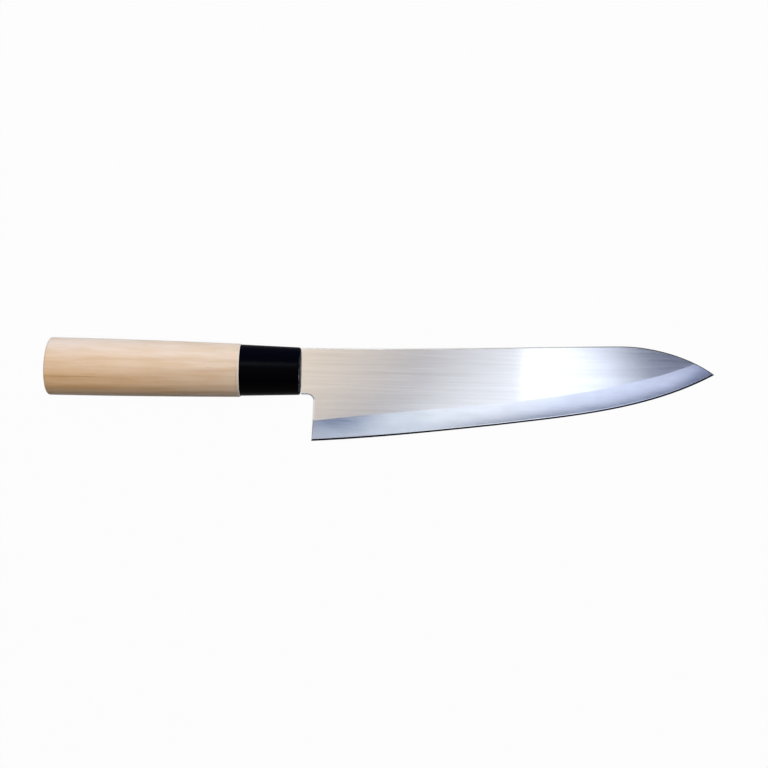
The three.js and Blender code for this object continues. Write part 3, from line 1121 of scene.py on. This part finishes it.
def heel_seam():
    """The part of the seam that the heel mirrors, which lies further to the edge side."""
    return *HEEL_SEAM, seam(HEEL_CARDS_END)


def sill_line():
    """Where the window card meets the sill card."""
    return *HEEL_SILL, (HEEL_CARDS_END, SILL), (SILL_END, SILL)


def make_lamps():
    """A key lamp on the spine side, not seen in the blade, and a strip that the collar mirrors."""
    add_lamp("key", place=(0.45, 0.55, 1.1), size=(1.3, 0.8), radiance=2.3, in_mirrors=False)
    add_lamp("strip", place=(-0.08, 0.27, 0.99), size=(0.34, 0.22), radiance=13, in_mirrors=True)


def make_ceiling():
    """The card that the rear of the flat mirrors: cream, then grey, then bluish white."""
    grades = (
        (-0.96, (1.05, 1, 0.92)),
        (-0.26, (1.05, 1, 0.92)),
        (-0.12, (0.97, 0.84, 0.7)),
        (0.09, (0.63, 0.615, 0.65)),
        (0.254, (1.1, 1.15, 1.25)),
    )
    back = ((SKYLIGHT_START, CEILING_BACK), (CEILING_REAR, CEILING_BACK))
    outline = (seam(CEILING_REAR), *heel_seam(), seam(SKYLIGHT_START), *back)
    add_card("ceiling_card", outline, grades, CEILING_LEAN)


def make_skylight():
    """The card that the front of the flat mirrors: bright, then dark towards the tip."""
    grades = (
        (SKYLIGHT_START, (1.7, 1.7, 1.75)),
        (0.492, (1.4, 1.5, 1.75)),
        (0.61, (0.14, 0.16, 0.25)),
        (SKYLIGHT_END, (0.12, 0.13, 0.19)),
    )
    back = ((SKYLIGHT_END, SKYLIGHT_BACK), (SKYLIGHT_START, SKYLIGHT_BACK))
    outline = (seam(SKYLIGHT_START), seam(SKYLIGHT_END), *back)
    add_card("skylight_card", outline, grades, SKYLIGHT_LEAN)


def make_window():
    """The card that the wide bevel mirrors: dark blue at the heel, bright, then dim at the tip."""
    grades = (
        (-0.15, (0.9, 0.9, 0.95)),
        (-0.06, (0.36, 0.4, 0.52)),
        (-0.005, (0.17, 0.23, 0.41)),
        (0.04, (0.1, 0.17, 0.34)),
        (0.1, (0.76, 0.85, 0.98)),
        (0.2, (1.15, 1.2, 1.3)),
        (0.32, (1.2, 1.28, 1.44)),
        (0.39, (1.14, 1.24, 1.5)),
        (0.44, (0.99, 1.08, 1.34)),
        (0.55, (0.97, 1.08, 1.41)),
        (0.635, (0.97, 1.06, 1.4)),
        (0.68, (0.34, 0.41, 0.66)),
        (WINDOW_END, (0.22, 0.27, 0.44)),
    )
    outline = (*sill_line(), *WINDOW_FRONT, seam(WINDOW_END), *reversed(heel_seam()))
    add_card("window_card", outline, grades)


def make_sill():
    """The card that the foot of the wide bevel mirrors towards the heel."""
    grades = (
        (-0.15, (0.72, 0.73, 0.76)),
        (0.012, (0.62, 0.69, 0.84)),
        (0.1, (0.86, 0.95, 1.08)),
        (SILL_END, (0.95, 1.02, 1.16)),
    )
    add_card("sill_card", (*SILL_FOOT, *reversed(sill_line())), grades)


def make_camera():
    data = bpy.data.cameras.new("camera")
    data.lens = CAMERA_LENS
    camera = bpy.data.objects.new("camera", data)
    bpy.context.scene.collection.objects.link(camera)
    camera.location = CAMERA_PLACE
    camera.rotation_euler = (0, 0, CAMERA_TURN)
    bpy.context.scene.camera = camera


def finish_resin():
    """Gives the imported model's resin, which is shown as it is, its material."""
    resin = frame["nodes"]["tang_resin"]
    resin.data.materials.clear()
    resin.data.materials.append(dark_resin())


make_camera()
make_floor()
make_world()
make_lamps()
make_ceiling()
make_skylight()
make_window()
make_sill()
make_blade()
make_collar()
make_handle()
finish_resin()
bpy.context.scene.view_settings.view_transform = "Standard"
